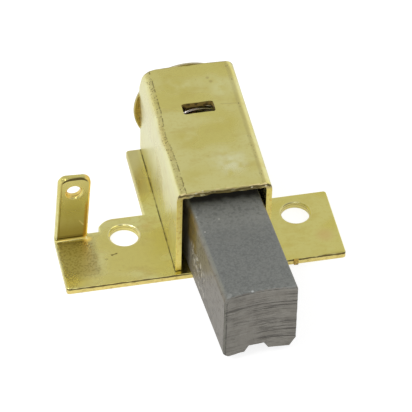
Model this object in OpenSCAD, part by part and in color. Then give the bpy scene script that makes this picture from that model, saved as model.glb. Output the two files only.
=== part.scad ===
// Carbon brush in a sheet-brass brush box on a base plate with a solder tab.
// The box is an inverted channel staked to the plate. Its mouth faces -Y.
// Origin: midway between the two mounting holes, on the plate's underside. +Z is up.

/* [Base plate] */
// Thickness of the plate and of the tab folded from it
plate_t = 1.0; // [0.8:0.1:1.5]
// Distance between the centres of the two mounting holes
hole_spacing = 24.0; // [22:0.5:30]
// Diameter of the mounting holes (clears an M3.5 screw)
hole_d = 4.0; // [3.2:0.1:4.6]
// Width of the rolled edge round each hole
hole_roll = 0.15; // [0.05:0.05:0.3]
// Front edge of the plate to the line of the holes
hole_front = 8.8; // [6:0.1:10]
// Line of the holes to the rear edge of the cross bar
hole_rear = 3.55; // [3:0.05:6]
// Right-hand hole to the right-hand end of the plate
end_right = 5.1; // [3.5:0.1:8]
// Left-hand hole to the shoulder beside the tab
shoulder_left = 3.15; // [2.8:0.05:5]
// Rounding of the shoulder beside the tab
shoulder_r = 2.6; // [1:0.1:3]
// Width of the blunt corner that ends that rounding
shoulder_flat = 0.35; // [0.1:0.05:0.6]
// Rounding of the plate's other corners
corner_r = 0.4; // [0.1:0.1:1]
// Width of the rear strip that shows on each side of the box
strip_margin = 2.1; // [1:0.1:4]
// Rear end of the box back to the rear edge of that strip
strip_setback = 0.2; // [0:0.05:0.5]
// Width of the parting nub left on the front edge
nub_w = 0.6; // [0.2:0.1:1.2]
// Distance that the parting nub stands out
nub_out = 0.2; // [0.05:0.05:0.4]
// Right-hand hole back to the parting nub
nub_inset = 1.9; // [1:0.1:3]

/* [Solder tab] */
// Width of the tab
tab_w = 4.45; // [3:0.05:6.3]
// Height of the tab above the plate
tab_h = 11.3; // [8:0.1:16]
// Gap between the tab and the shoulder beside it
tab_relief = 1.9; // [1:0.1:4]
// Line of the holes to the front face of the tab
tab_set = 0.4; // [-1:0.1:1]
// Sideways lean of the tab
tab_lean = 3.2; // [0:0.1:5]
// Rounding of the tab's top corners
tab_corner_r = 1.0; // [0.5:0.1:1.4]
// Bevel along the tab's edges
tab_bevel = 0.25; // [0.1:0.05:0.3]
// Diameter of the tab's wire hole
tab_hole_d = 2.0; // [1.2:0.1:2.2]
// Top of the tab to the centre of its wire hole
tab_hole_drop = 2.45; // [1.8:0.05:4]
// Bevel round the front of the wire hole
tab_hole_bevel = 0.2; // [0.05:0.05:0.3]
// Inside radius of the fold at the foot of the tab
fold_r = 0.2; // [0.1:0.05:0.5]

/* [Brush box] */
// Thickness of the box's sheet
box_t = 0.8; // [0.6:0.05:1]
// Length of the box
box_len = 24.95; // [22:0.05:30]
// Outside radius of the box's two bends
box_bend_r = 1.2; // [1:0.1:2.5]
// Front edge of the plate to the mouth of the box
box_setback = 0.65; // [0.2:0.05:2]
// Gap under the walls between their staking tabs
foot_gap = 0.08; // [0.02:0.02:0.2]
// Length of each staking tab
stake_len = 3.0; // [2:0.1:4]
// End of the box to the near edge of its first staking tab
stake_end = 1.8; // [1:0.1:2.5]
// Mouth of the box to the middle of its middle staking tab
stake_mid = 10.4; // [8.5:0.1:12]
// Gap round a staking tab or tang in its slot
stake_clearance = 0.05; // [0.02:0.01:0.1]
// Length of the inspection slot, across the box
slot_w = 4.4; // [3:0.1:7]
// Width of the inspection slot, along the box
slot_len = 2.05; // [1:0.05:4]
// Rear end of the box to the inspection slot
slot_rear = 7.6; // [5:0.1:9]
// Sideways shift of the inspection slot
slot_shift = -0.2; // [-1:0.1:1]
// Rounding of the slot's corners
slot_corner_r = 0.25; // [0.1:0.05:0.5]

/* [Carbon brush] */
// Width of the brush
brush_w = 10.0; // [8:0.1:12]
// Height of the brush
brush_h = 11.0; // [9:0.1:13]
// Length of the brush
brush_len = 24.5; // [21:0.1:28]
// Length of the brush that stands out of the mouth
brush_out = 16.85; // [12:0.05:18]
// Distance that the brush can be pushed in from there
brush_travel = 8.0; // [4:0.1:8]
// Sideways play of the brush between the walls
brush_play = 1.4; // [0.6:0.05:2]
// Room above the brush
brush_headroom = 2.45; // [0.5:0.05:4]
// Running gap under the brush
brush_lift = 0.05; // [0.02:0.01:0.1]
// Gap left at the mouth, on the side the brush leans to
nose_gap = 0.35; // [0.1:0.05:0.4]
// Gap left at the brush's rear corner when it is pushed in
tail_gap = 0.1; // [0.05:0.05:0.2]
// Radius of the commutator that the front face is ground to
contact_r = 23; // [12:0.5:40]
// Rounding of the brush's top left edge
edge_big_r = 0.7; // [0.2:0.1:1]
// Rounding of its lower left edge
edge_foot_r = 0.4; // [0.1:0.1:1]
// Rounding of its top right edge
edge_small_r = 0.35; // [0.1:0.05:0.6]
// Width of the chamfer along the lower right edge
chamfer_w = 0.8; // [0.3:0.1:1.2]
// Height of that chamfer
chamfer_h = 1.6; // [0.5:0.1:2]
// Width of the groove under the brush, at its mouth
groove_w = 3.3; // [2:0.1:5]
// Depth of the groove
groove_depth = 1.0; // [0.3:0.05:1.5]
// Sideways slope of each groove wall
groove_slope = 0.6; // [0.1:0.05:0.8]
// Sideways shift of the groove
groove_shift = -0.25; // [-1:0.05:1]
// Height of the round spigot that centres the spring
spigot_h = 1.2; // [0.6:0.1:2]

/* [Spring] */
// Diameter of the spring wire
wire_d = 0.8; // [0.5:0.05:1]
// Outside diameter of the spring
spring_d = 10.2; // [8:0.1:10.4]
// Number of open turns
open_turns = 4; // [2:1:5]
// Turn of the coil where its first closed end starts, in degrees
spring_phase = 75; // [0:5:355]
// Gap between the spring's inside and what centres it
spring_clearance = 0.35; // [0.1:0.05:0.6]

/* [Rear cap] */
// Diameter of the cap
cap_d = 14.9; // [14:0.1:16]
// Thickness of the cap's sheet
cap_t = 0.3; // [0.2:0.05:0.8]
// Depth of the cup pressed into the cap
cup_depth = 1.4; // [1:0.1:2.5]
// Height of each tang that holds the cap
tang_w = 3.0; // [2:0.1:5]
// Distance that a tang's riveted head stands behind the cap
tang_head = 0.4; // [0.2:0.05:0.8]
// Overhang of the riveted head above and below its slot
tang_spread = 0.25; // [0.15:0.05:0.5]

/* [Shunt] */
// Diameter of the braided copper shunt
shunt_d = 1.8; // [1:0.1:2.2]
// Gap round the shunt in the cap's hole
shunt_clearance = 0.1; // [0.05:0.05:0.3]
// Diameter of the tamped plug that anchors the shunt
plug_d = 3.6; // [3:0.1:4.5]
// Depth of the plug in the brush
plug_depth = 4.0; // [2:0.1:6]
// Gap between the plug and its bore
plug_gap = 0.02; // [0.01:0.01:0.05]
// Sideways sag of the shunt between its ends
shunt_sag = 0.8; // [0:0.1:1.2]
// Height of the solder dome over the end of the shunt
solder_h = 0.5; // [0.3:0.05:0.8]
// Overhang of the solder dome round the shunt
solder_spread = 0.7; // [0.4:0.1:1]

/* [Hidden] */
$fn = 64;
tiny = 0.01;      // overlap that makes a cut run clean through a face
over = 1;         // length by which a cutter, or a part joined on, runs past a face
brass = "#C2B870";
carbon = "#6E706C";
steel = "#CFC3AE";
copper = "#B87333";
solder = "#B9BBBD";

// Along the box
front_y = -hole_front;
mouth_y = front_y + box_setback;
rear_y = mouth_y + box_len;

// Across and up the box
inner_w = brush_w + brush_play;
box_w = inner_w + 2 * box_t;
floor_z = plate_t;
roof_z = floor_z + brush_lift + brush_h + brush_headroom;
box_top = roof_z + box_t;
wall_x = inner_w / 2 + box_t / 2;       // middle of a side wall
foot_z = floor_z + foot_gap;

// Plate outline
right_x = hole_spacing / 2 + end_right;
shoulder_x = -hole_spacing / 2 - shoulder_left;
tab_right_x = shoulder_x - tab_relief;
left_x = tab_right_x - tab_w;
strip_x = box_w / 2 + strip_margin;
strip_rear = rear_y - strip_setback;
relief_y = tab_set + plate_t;           // rear edge of the plate beside the tab

// Staking tabs under each wall, from the mouth to the rear
stake_inset = stake_end + stake_len / 2;
stake_ys = [mouth_y + stake_inset, mouth_y + stake_mid, rear_y - stake_inset];

// The brush lies askew in its play: its nose leans to +X
brush_in = brush_len - brush_out;
brush_skew = asin((brush_play - nose_gap - tail_gap) / (brush_in + brush_travel));
brush_x = inner_w / 2 - nose_gap - brush_w / 2 / cos(brush_skew);
brush_z = floor_z + brush_lift;

// Points on the brush, from its own frame to the part's frame
function at_brush(p) = [
    brush_x + p[0] * cos(brush_skew) - p[1] * sin(brush_skew),
    mouth_y + p[0] * sin(brush_skew) + p[1] * cos(brush_skew),
    brush_z + p[2]];

// Spring and shunt run from the middle of the brush's tail to the middle of the cap
cap_z = (floor_z + box_top) / 2;
spring_r = (spring_d - wire_d) / 2;
spigot_r = spring_r - wire_d / 2 - spring_clearance;
cup_r = spigot_r;
tail = at_brush([0, brush_in, brush_h / 2]);
spring_from = [tail[0], tail[1] + wire_d / 2 + spring_r * sin(brush_skew), tail[2]];
spring_to = [0, rear_y - wire_d / 2, cap_z];
closed_turns = 1;
spring_turns = open_turns + 2 * closed_turns;
open_pitch = (spring_to[1] - spring_from[1] - 2 * closed_turns * wire_d) / open_turns;
shunt_from = at_brush([0, brush_in + spigot_h, brush_h / 2]);
shunt_to = [0, rear_y - cup_depth + cap_t, cap_z];

// ---- helpers ----

// Corner of a flat outline rounded off: the cutter for a corner at the origin,
// whose material lies along +X and +Y before mirroring by sx and sy
module corner_cutter(r, sx, sy) {
    mirror([sx < 0 ? 1 : 0, 0]) mirror([0, sy < 0 ? 1 : 0])
        difference() {
            translate([-tiny, -tiny]) square(r + tiny);
            translate([r, r]) circle(r);
        }
}

module round_corner(p, r, sx, sy) {
    translate(p) corner_cutter(r, sx, sy);
}

// Solid swept through a list of rings that all have the same number of points
module loft(rings) {
    n = len(rings[0]);
    last = len(rings) - 1;
    polyhedron(
        points = [for (ring = rings) each ring],
        faces = [
            [for (k = [0 : n - 1]) k],
            for (i = [0 : last - 1], k = [0 : n - 1])
                [i * n + k, (i + 1) * n + k, (i + 1) * n + (k + 1) % n, i * n + (k + 1) % n],
            [for (k = [n - 1 : -1 : 0]) last * n + k]]);
}

// Drawing an XZ outline out along +Y
module extrude_y(length) {
    rotate([90, 0, 0]) mirror([0, 0, 1]) linear_extrude(length) children();
}

// ---- base plate ----

module plate_outline() {
    difference() {
        union() {
            translate([left_x, front_y]) square([right_x - left_x, relief_y - front_y]);
            translate([shoulder_x, front_y])
                square([right_x - shoulder_x, hole_rear - front_y]);
            translate([-strip_x, front_y]) square([2 * strip_x, strip_rear - front_y]);
        }
        round_corner([left_x, front_y], corner_r, 1, 1);
        round_corner([right_x, front_y], corner_r, -1, 1);
        round_corner([right_x, hole_rear], corner_r, -1, -1);
        round_corner([strip_x, strip_rear], corner_r, -1, -1);
        round_corner([-strip_x, strip_rear], corner_r, 1, -1);
        shoulder_corner();
    }
    translate([hole_spacing / 2 - nub_inset - nub_w / 2, front_y - nub_out])
        square([nub_w, nub_out + tiny]);
}

// The shoulder's rounding ends in a blunt corner on the edge beside the tab
module shoulder_corner() {
    translate([shoulder_x, hole_rear])
        difference() {
            translate([-tiny, -shoulder_r]) square([shoulder_r, shoulder_r + tiny]);
            translate([shoulder_r - shoulder_flat, -shoulder_r]) circle(shoulder_r);
            translate([shoulder_r - shoulder_flat, -shoulder_r]) square(shoulder_r);
        }
}

module punched_hole(x) {
    translate([x, 0, -tiny]) cylinder(d = hole_d, h = plate_t + 2 * tiny);
    translate([x, 0, plate_t - hole_roll])
        cylinder(d1 = hole_d, d2 = hole_d + 2 * hole_roll + 2 * tiny, h = hole_roll + tiny);
}

module stake_slot(x, y) {
    w = box_t + 2 * stake_clearance;
    l = stake_len + 2 * stake_clearance;
    translate([x - w / 2, y - l / 2, -tiny]) cube([w, l, plate_t + 2 * tiny]);
}

// Quarter ring that turns the plate up into the tab
module tab_fold() {
    outer = fold_r + plate_t;
    translate([left_x, tab_set - fold_r, floor_z + fold_r])
        rotate([90, 0, 90])
            linear_extrude(tab_w)
                intersection() {
                    difference() {
                        circle(outer);
                        circle(fold_r);
                    }
                    translate([0, -outer]) square(outer);
                }
}

module tab_outline(inset) {
    r = tab_corner_r - inset;
    w = tab_w / 2 - inset;
    top = tab_h - fold_r - inset;
    difference() {
        translate([-w, 0]) square([2 * w, top]);
        round_corner([-w, top], r, 1, -1);
        round_corner([w, top], r, -1, -1);
    }
}

module tab_blade() {
    hull() {
        translate([0, tab_bevel, 0]) extrude_y(plate_t - 2 * tab_bevel) tab_outline(0, $fn = 32);
        extrude_y(plate_t) tab_outline(tab_bevel, $fn = 32);
    }
}

module tab_hole() {
    rotate([-90, 0, 0]) {
        translate([0, 0, -tiny]) cylinder(d = tab_hole_d, h = plate_t + 2 * tiny);
        translate([0, 0, -tiny])
            cylinder(d1 = tab_hole_d + 2 * tab_hole_bevel + 2 * tiny,
                     d2 = tab_hole_d, h = tab_hole_bevel + tiny);
    }
}

module solder_tab() {
    tab_fold();
    translate([(left_x + tab_right_x) / 2, tab_set, floor_z + fold_r])
        rotate([0, tab_lean, 0])
            difference() {
                tab_blade();
                translate([0, 0, tab_h - fold_r - tab_hole_drop]) tab_hole();
            }
}

module base_plate() {
    color(brass) {
        difference() {
            linear_extrude(plate_t) plate_outline();
            // Metal that the fold lifts out of the plate
            translate([left_x - tiny, tab_set - fold_r, -tiny])
                cube([tab_w + tiny, plate_t + fold_r + over, plate_t + 2 * tiny]);
            for (side = [-1, 1]) {
                punched_hole(side * hole_spacing / 2);
                for (y = stake_ys) stake_slot(side * wall_x, y);
            }
        }
        solder_tab();
    }
}

// ---- brush box ----

// Inverted channel with rounded bends, open at the bottom
module box_profile() {
    difference() {
        translate([-box_w / 2, foot_z]) square([box_w, box_top - foot_z]);
        for (side = [-1, 1])
            round_corner([side * box_w / 2, box_top], box_bend_r, -side, -1);
        difference() {
            translate([-inner_w / 2, foot_z - over]) square([inner_w, roof_z - foot_z + over]);
            for (side = [-1, 1])
                round_corner([side * inner_w / 2, roof_z], box_bend_r - box_t, -side, -1);
        }
    }
}

module inspection_slot() {
    x = slot_w / 2;
    y = slot_len / 2;
    translate([slot_shift, rear_y - slot_rear - y, roof_z - over])
        linear_extrude(box_t + 2 * over)
            difference() {
                square([slot_w, slot_len], center = true);
                for (sx = [-1, 1], sy = [-1, 1])
                    round_corner([sx * x, sy * y], slot_corner_r, -sx, -sy);
            }
}

// Tang on the rear of a wall, with its end riveted over behind the cap
module cap_tang() {
    head = tang_w + 2 * (stake_clearance + tang_spread);
    translate([-box_t / 2, rear_y - over, cap_z - tang_w / 2])
        cube([box_t, over + cap_t + tang_head, tang_w]);
    translate([-box_t / 2, rear_y + cap_t, cap_z - head / 2])
        cube([box_t, tang_head, head]);
}

module brush_box() {
    color(brass)
        difference() {
            union() {
                translate([0, mouth_y, 0]) extrude_y(box_len) box_profile();
                for (side = [-1, 1])
                    translate([side * wall_x, 0, 0]) {
                        for (y = stake_ys)
                            translate([-box_t / 2, y - stake_len / 2, 0])
                                cube([box_t, stake_len, foot_z + over]);
                        cap_tang();
                    }
            }
            inspection_slot();
        }
}

// ---- carbon brush ----

module brush_profile() {
    x = brush_w / 2;
    difference() {
        translate([-x, 0]) square([brush_w, brush_h]);
        round_corner([-x, brush_h], edge_big_r, 1, -1);
        round_corner([x, brush_h], edge_small_r, -1, -1);
        round_corner([-x, 0], edge_foot_r, 1, 1);
        polygon([[x - chamfer_w, 0], [x, chamfer_h], [x + over, chamfer_h],
                 [x + over, -over], [x - chamfer_w, -over]]);
        translate([groove_shift, 0])
            polygon([[-groove_w / 2, -over], [-groove_w / 2, 0],
                     [-groove_w / 2 + groove_slope, groove_depth],
                     [groove_w / 2 - groove_slope, groove_depth],
                     [groove_w / 2, 0], [groove_w / 2, -over]]);
    }
}

module in_brush() {
    translate([brush_x, mouth_y, brush_z]) rotate([0, 0, brush_skew]) children();
}

// Centre of the commutator: the ground face's corners lie at the brush's full length
contact_y = -brush_out - sqrt(pow(contact_r, 2) - pow(brush_w / 2, 2));

module carbon_brush() {
    color(carbon)
        in_brush()
            difference() {
                union() {
                    translate([0, -brush_out, 0]) extrude_y(brush_len) brush_profile();
                    translate([0, brush_in - over, brush_h / 2])
                        rotate([-90, 0, 0]) cylinder(r = spigot_r, h = over + spigot_h);
                }
                translate([0, contact_y, -over])
                    cylinder(r = contact_r, h = brush_h + 2 * over, $fn = 180);
                translate([0, brush_in + spigot_h - plug_depth, brush_h / 2])
                    rotate([-90, 0, 0]) cylinder(d = plug_d, h = plug_depth + over);
            }
}

// ---- shunt, plug and solder ----

module tamping_plug() {
    color(copper)
        in_brush()
            translate([0, brush_in + spigot_h - plug_depth + plug_gap, brush_h / 2])
                rotate([-90, 0, 0])
                    cylinder(d = plug_d - 2 * plug_gap, h = plug_depth - plug_gap);
}

shunt_sides = 8;
shunt_steps = 24;

// Ring of the shunt at t (0 at the brush, 1 at the cap), turned from the brush's skew to
// the cap's plane, on a line that sags sideways and leaves both ends straight
function shunt_ring(t) =
    let (skew = brush_skew * (1 - t),
         ease = t * t * (3 - 2 * t),
         sag = shunt_sag * pow(sin(180 * t), 2),
         c = [shunt_from[0] + (shunt_to[0] - shunt_from[0]) * ease + sag,
              shunt_from[1] + (shunt_to[1] - shunt_from[1]) * t,
              shunt_from[2] + (shunt_to[2] - shunt_from[2]) * ease - sag / 2])
    [for (k = [0 : shunt_sides - 1])
        let (a = 360 * k / shunt_sides, r = shunt_d / 2)
        c + [r * sin(a) * cos(skew), r * sin(a) * sin(skew), r * cos(a)]];

module shunt() {
    color(copper) loft([for (i = [0 : shunt_steps]) shunt_ring(i / shunt_steps)]);
}

// Low dome of solder in the cap's cup, over the end of the shunt
module solder_joint() {
    r = shunt_d / 2 + solder_spread;
    ball = (r * r + solder_h * solder_h) / (2 * solder_h);
    color(solder)
        translate([0, shunt_to[1], cap_z])
            rotate([-90, 0, 0])
                intersection() {
                    translate([0, 0, solder_h - ball]) sphere(ball);
                    cylinder(r = r + over, h = solder_h + over);
                }
}

// ---- spring ----

wire_sides = 10;
turn_steps = 30;

// Distance along the axis after a number of turns: closed, open, closed
function spring_run(turns) =
    wire_d * min(turns, closed_turns)
    + open_pitch * max(0, min(turns - closed_turns, open_turns))
    + wire_d * max(0, turns - closed_turns - open_turns);

function spring_ring(turns) =
    let (a = spring_phase + 360 * turns,
         run = spring_run(turns),
         f = run / (spring_to[1] - spring_from[1]),
         radial = [sin(a), 0, cos(a)],
         axis = [spring_from[0] + (spring_to[0] - spring_from[0]) * f,
                 spring_from[1] + run,
                 spring_from[2] + (spring_to[2] - spring_from[2]) * f])
    [for (k = [0 : wire_sides - 1])
        let (b = 360 * k / wire_sides)
        axis + radial * (spring_r + wire_d / 2 * cos(b)) + [0, wire_d / 2 * sin(b), 0]];

module compression_spring() {
    steps = spring_turns * turn_steps;
    color(steel) loft([for (i = [0 : steps]) spring_ring(i / turn_steps)]);
}

// ---- rear cap ----

module cap_profile() {
    hole_r = shunt_d / 2 + shunt_clearance;
    polygon([[hole_r, -cup_depth], [cup_r, -cup_depth], [cup_r, 0],
             [cap_d / 2, 0], [cap_d / 2, cap_t],
             [cup_r - cap_t, cap_t], [cup_r - cap_t, cap_t - cup_depth],
             [hole_r, cap_t - cup_depth]]);
}

module rear_cap() {
    w = box_t + 2 * stake_clearance;
    h = tang_w + 2 * stake_clearance;
    color(brass)
        difference() {
            translate([0, rear_y, cap_z]) rotate([-90, 0, 0]) rotate_extrude() cap_profile();
            for (side = [-1, 1])
                translate([side * wall_x - w / 2, rear_y - over, cap_z - h / 2])
                    cube([w, cap_t + 2 * over, h]);
        }
}

base_plate();
brush_box();
carbon_brush();
tamping_plug();
compression_spring();
shunt();
rear_cap();
solder_joint();
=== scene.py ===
"""Brass brush holder with its carbon brush, dressed for the camera. Sizes are in mm, times MM."""

import math
import bmesh
import bpy
from mathutils import Matrix, Vector, noise


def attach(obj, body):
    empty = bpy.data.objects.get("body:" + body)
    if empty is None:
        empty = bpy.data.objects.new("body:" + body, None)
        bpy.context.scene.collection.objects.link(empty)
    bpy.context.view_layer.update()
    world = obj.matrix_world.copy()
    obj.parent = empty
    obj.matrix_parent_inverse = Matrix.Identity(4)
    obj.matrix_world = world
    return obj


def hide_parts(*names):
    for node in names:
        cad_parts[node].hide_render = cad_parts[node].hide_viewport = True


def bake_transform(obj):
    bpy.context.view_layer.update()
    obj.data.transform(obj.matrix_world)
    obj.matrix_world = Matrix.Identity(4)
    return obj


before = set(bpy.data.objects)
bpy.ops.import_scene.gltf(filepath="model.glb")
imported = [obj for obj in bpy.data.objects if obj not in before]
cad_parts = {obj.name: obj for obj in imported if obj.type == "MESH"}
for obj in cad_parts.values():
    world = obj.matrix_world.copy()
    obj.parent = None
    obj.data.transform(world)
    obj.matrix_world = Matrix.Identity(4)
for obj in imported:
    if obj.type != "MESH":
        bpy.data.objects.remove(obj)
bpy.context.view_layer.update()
MM = 0.001

# Sizes of the part that the finishes and the new pieces refer to, in millimetres
PLATE_TOP = 1.0
FRONT = -8.8
HOLE_X = 12.0
HOLE_RADIUS = 2.0
NUB_X = 10.1
TAB_X = -18.68
TAB_LEAN = math.radians(3.2)
TAB_HOLE = (-18.79, 0, 9.84)
TAB_HOLE_RADIUS = 1.0
MOUTH = -8.15
REAR = 16.8
BOX_TOP = 15.3
BOX_HALF = 6.5
SHEET = 0.8
SLOT = Vector((-0.2, 8.175, BOX_TOP))
SLOT_HALF = Vector((2.2, 1.025))
NOSE = -24.9
BRUSH_TOP = 12.05
BRUSH_CORNER = (-2.2, 0, 10.75)
CHIPS = ((0.3, -24.38, BRUSH_TOP), (-3.5, -25.1, BRUSH_TOP))
SKEW = math.radians(3.48016)
TAIL = Vector((-0.123, -0.514, 6.55))
CAP_CENTRE = Vector((0, REAR, 8.15))
CAP_CUP_RADIUS = 7.25


# ---- shader helpers ----

class Nodes:
    """A shader's node tree: the calls add nodes and hand back their outputs."""

    def __init__(self, owner):
        owner.use_nodes = True
        self.tree = owner.node_tree

    def node(self, kind, settings=None, **inputs):
        made = self.tree.nodes.new("ShaderNode" + kind)
        for key, value in (settings or {}).items():
            setattr(made, key, value)
        for key, value in inputs.items():
            self.feed(made.inputs[key.replace("_", " ")], value)
        return made

    def feed(self, socket, value):
        if isinstance(value, bpy.types.NodeSocket):
            self.tree.links.new(value, socket)
        else:
            socket.default_value = value

    def span(self, value, low, high, to_low=0.0, to_high=1.0):
        return self.node("MapRange", {"interpolation_type": "SMOOTHSTEP"}, Value=value, From_Min=low,
                         From_Max=high, To_Min=to_low, To_Max=to_high).outputs["Result"]

    def fade(self, value, low, high):
        """1 up to low, falling to 0 at high."""
        return self.span(value, low, high, 1.0, 0.0)

    def math(self, operation, a, b=0.0):
        made = self.node("Math", {"operation": operation})
        self.feed(made.inputs[0], a)
        self.feed(made.inputs[1], b)
        return made.outputs["Value"]

    def vector(self, operation, a, b):
        made = self.node("VectorMath", {"operation": operation})
        self.feed(made.inputs[0], a)
        self.feed(made.inputs["Scale" if operation == "SCALE" else 1], b)
        return made.outputs["Value" if operation in ("DISTANCE", "DOT_PRODUCT") else "Vector"]

    def blend(self, share, a, b):
        made = self.node("Mix", {"data_type": "RGBA"})
        self.feed(made.inputs["Factor"], share)
        self.feed(made.inputs[6], a)
        self.feed(made.inputs[7], b)
        return made.outputs[2]


class Finish(Nodes):
    """A material worked out in millimetres, on which marks are laid one over another."""

    def __init__(self, name, **constants):
        self.material = bpy.data.materials.new(name)
        super().__init__(self.material)
        self.bsdf = self.tree.nodes["Principled BSDF"]
        for socket, value in constants.items():
            self.bsdf.inputs[socket.replace("_", " ")].default_value = value
        self.metal = constants["Metallic"]
        spot = self.node("TexCoord").outputs
        self.normal = self.node("SeparateXYZ", Vector=spot["Normal"]).outputs
        to_mm = (1 / MM, 1 / MM, 1 / MM)
        self.place = self.node("Mapping", Vector=spot["Object"], Scale=to_mm).outputs["Vector"]
        self.at = self.node("SeparateXYZ", Vector=self.place).outputs

    def stretched(self, x, y, z):
        return self.node("Mapping", Vector=self.place, Scale=(x, y, z)).outputs["Vector"]

    def noise(self, scale, detail=2.0, vector=None, roughness=0.5, distortion=0.0):
        return self.node("TexNoise", Vector=vector or self.place, Scale=scale, Detail=detail,
                         Roughness=roughness, Distortion=distortion).outputs["Fac"]

    def waver(self, amount, scale, detail=2.0):
        """A slow wander to either side of 0, which bends a straight line."""
        return self.math("MULTIPLY", self.math("SUBTRACT", self.noise(scale, detail), 0.5), amount)

    def cells(self, scale, vector=None):
        return self.node("TexVoronoi", Vector=vector or self.place, Scale=scale).outputs["Distance"]

    def both(self, first, *others):
        for other in others:
            first = self.math("MULTIPLY", first, other)
        return first

    def near(self, value, centre, half, soft):
        """1 within half of centre, fading to 0 over soft."""
        away = self.math("ABSOLUTE", self.math("SUBTRACT", value, centre))
        return self.fade(away, half, half + soft)

    def away_from(self, centre, **along):
        """Distance from a centre, counted only along the coordinates given."""
        place = self.node("CombineXYZ", **along).outputs["Vector"]
        return self.vector("DISTANCE", place, centre)

    def spot(self, centre, radius, soft):
        """1 inside a ball, fading to 0 over soft."""
        return self.fade(self.vector("DISTANCE", self.place, centre), radius, radius + soft)

    def streak(self, start, end, width):
        """1 along a thin, slightly wavering line between two points."""
        start, end = Vector(start), Vector(end)
        line = (end - start).normalized()
        offset = self.vector("SUBTRACT", self.place, start)
        along = self.vector("DOT_PRODUCT", offset, line)
        away = self.vector("DISTANCE", offset, self.vector("SCALE", line, along))
        across = self.fade(self.math("ADD", away, self.waver(0.3, 1.7)), width * 0.4, width)
        half = (end - start).length / 2
        return self.both(across, self.near(along, half, half * 0.7, half * 0.3))

    def relief(self, height, depth, strength=1.0, under=None):
        made = self.node("Bump", Height=height, Distance=depth * MM, Strength=strength)
        if under is not None:
            self.feed(made.inputs["Normal"], under)
        return made.outputs["Normal"]

    def mark(self, mask, colour, share=1.0, rough=None, sink=0.0, metal=None):
        """Lays a mark over the finish: its colour, gloss, metal and depth follow the mask."""
        share = self.both(mask, share)
        self.tint = self.blend(share, self.tint, (*colour, 1))
        if rough is not None:
            change = self.math("SUBTRACT", rough, self.rough)
            self.rough = self.math("ADD", self.rough, self.both(change, share))
        if metal is not None:
            change = self.math("SUBTRACT", metal, self.metal)
            self.metal = self.math("ADD", self.metal, self.both(change, share))
        if sink:
            self.height = self.math("SUBTRACT", self.height, self.both(mask, sink))

    def done(self, depth=0.004, wave=None):
        under = self.relief(self.height, depth)
        if wave is not None:
            under = self.relief(wave, 0.02, 0.35, under)
        for socket, value in (("Base Color", self.tint), ("Roughness", self.rough), ("Normal", under),
                              ("Metallic", self.metal)):
            self.feed(self.bsdf.inputs[socket], value)
        return self.material


# ---- finishes of the brass pieces ----

# Dark colour for real grime and scratches, and for painted shade in the seams and on the rolled edges
GRIME_AND_SHADE = (0.14, 0.10, 0.035)
BROWN = (0.42, 0.28, 0.07)


def rolled_brass(name, pale, deep, rough=0.28, cloud=0.14):
    """Sheet brass: soft cloudy tint, faint stains, fine rolling lines, grain and sparse pores."""
    f = Finish(name, Metallic=1.0)
    clouds = f.noise(cloud, 2.0, f.stretched(0.8, 1.25, 1.0))
    f.tint = f.blend(f.span(clouds, 0.39, 0.61), (*deep, 1), (*pale, 1))
    grain = f.noise(5.2, 2.0)
    lines = f.noise(1.0, 2.0, f.stretched(0.3, 4.0, 4.0))
    f.rough = f.span(clouds, 0.3, 0.7, rough - 0.05, rough + 0.06)
    f.height = f.math("ADD", f.both(lines, 0.5), f.both(grain, 0.6))
    f.mark(f.span(f.noise(0.33, 4.0, f.stretched(0.7, 1.2, 1.0), 0.62), 0.50, 0.70),
           (deep[0] * 0.88, deep[1] * 0.81, deep[2] * 0.80), 0.6)
    f.mark(f.span(f.noise(2.1, 2.0), 0.50, 0.70), (deep[0] * 0.90, deep[1] * 0.85, deep[2] * 0.85),
           0.35)
    f.mark(f.span(lines, 0.60, 0.72), (deep[0] * 0.85, deep[1] * 0.80, deep[2] * 0.85), 0.10)
    pores = f.both(f.fade(f.cells(1.6), 0.08, 0.15), f.span(f.noise(0.45, 1.0), 0.60, 0.68))
    f.mark(pores, (0.40, 0.32, 0.10), 0.6, rough=0.5, sink=1.5)
    return f


def rolled_rim(f):
    """Painted dark reflection as a wavering line where the punched edge rolls over, and a bright torn
    band below it.
    """
    side = f.fade(f.math("ABSOLUTE", f.normal["Z"]), 0.80, 0.93)
    ahead = f.fade(f.normal["Y"], -0.5, -0.2)
    level = f.math("ADD", f.at["Z"], f.waver(0.12, 1.1, 3.0))
    low = f.both(f.fade(level, PLATE_TOP - 0.45, PLATE_TOP - 0.30), side)
    f.mark(f.both(low, ahead), (0.98, 0.80, 0.27), 0.8, rough=0.35, metal=0.8)
    torn = f.span(f.noise(2.4, 3.0, f.stretched(0.6, 0.6, 2.2)), 0.50, 0.66)
    f.mark(f.both(low, torn), BROWN, 0.5, rough=0.5, sink=1.5)
    # Painted dark reflection: the dark line along the roll of the edge
    thick = f.span(f.noise(0.8, 2.0), 0.3, 0.7, 0.06, 0.14)
    away = f.math("ABSOLUTE", f.math("SUBTRACT", level, PLATE_TOP - 0.22))
    line = f.fade(f.math("SUBTRACT", away, thick), 0.0, 0.07)
    f.mark(f.both(line, side, ahead), GRIME_AND_SHADE, 0.95, rough=0.5, sink=1.0)


def hole_rings(f):
    """Painted highlight round each punched hole, and painted light on its wall, which has a brown line
    across it.
    """
    either_side = f.math("ABSOLUTE", f.at["X"])
    away = f.away_from((HOLE_X, 0, 0), X=either_side, Y=f.at["Y"])
    wall = f.fade(away, HOLE_RADIUS + 0.01, HOLE_RADIUS + 0.04)
    # Painted light: the hole's wall is made bright
    f.mark(wall, (1.0, 0.90, 0.32), 0.85, rough=0.35, metal=0.4)
    f.mark(f.both(wall, f.near(f.at["Z"], PLATE_TOP - 0.40, 0.03, 0.07)), BROWN, 0.6, rough=0.5,
           sink=1.0)
    # Painted highlight on the rounded rim of the hole
    ring = f.near(away, HOLE_RADIUS + 0.16, 0.05, 0.10)
    f.mark(ring, (0.98, 0.93, 0.60), 0.45, rough=0.30)


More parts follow.
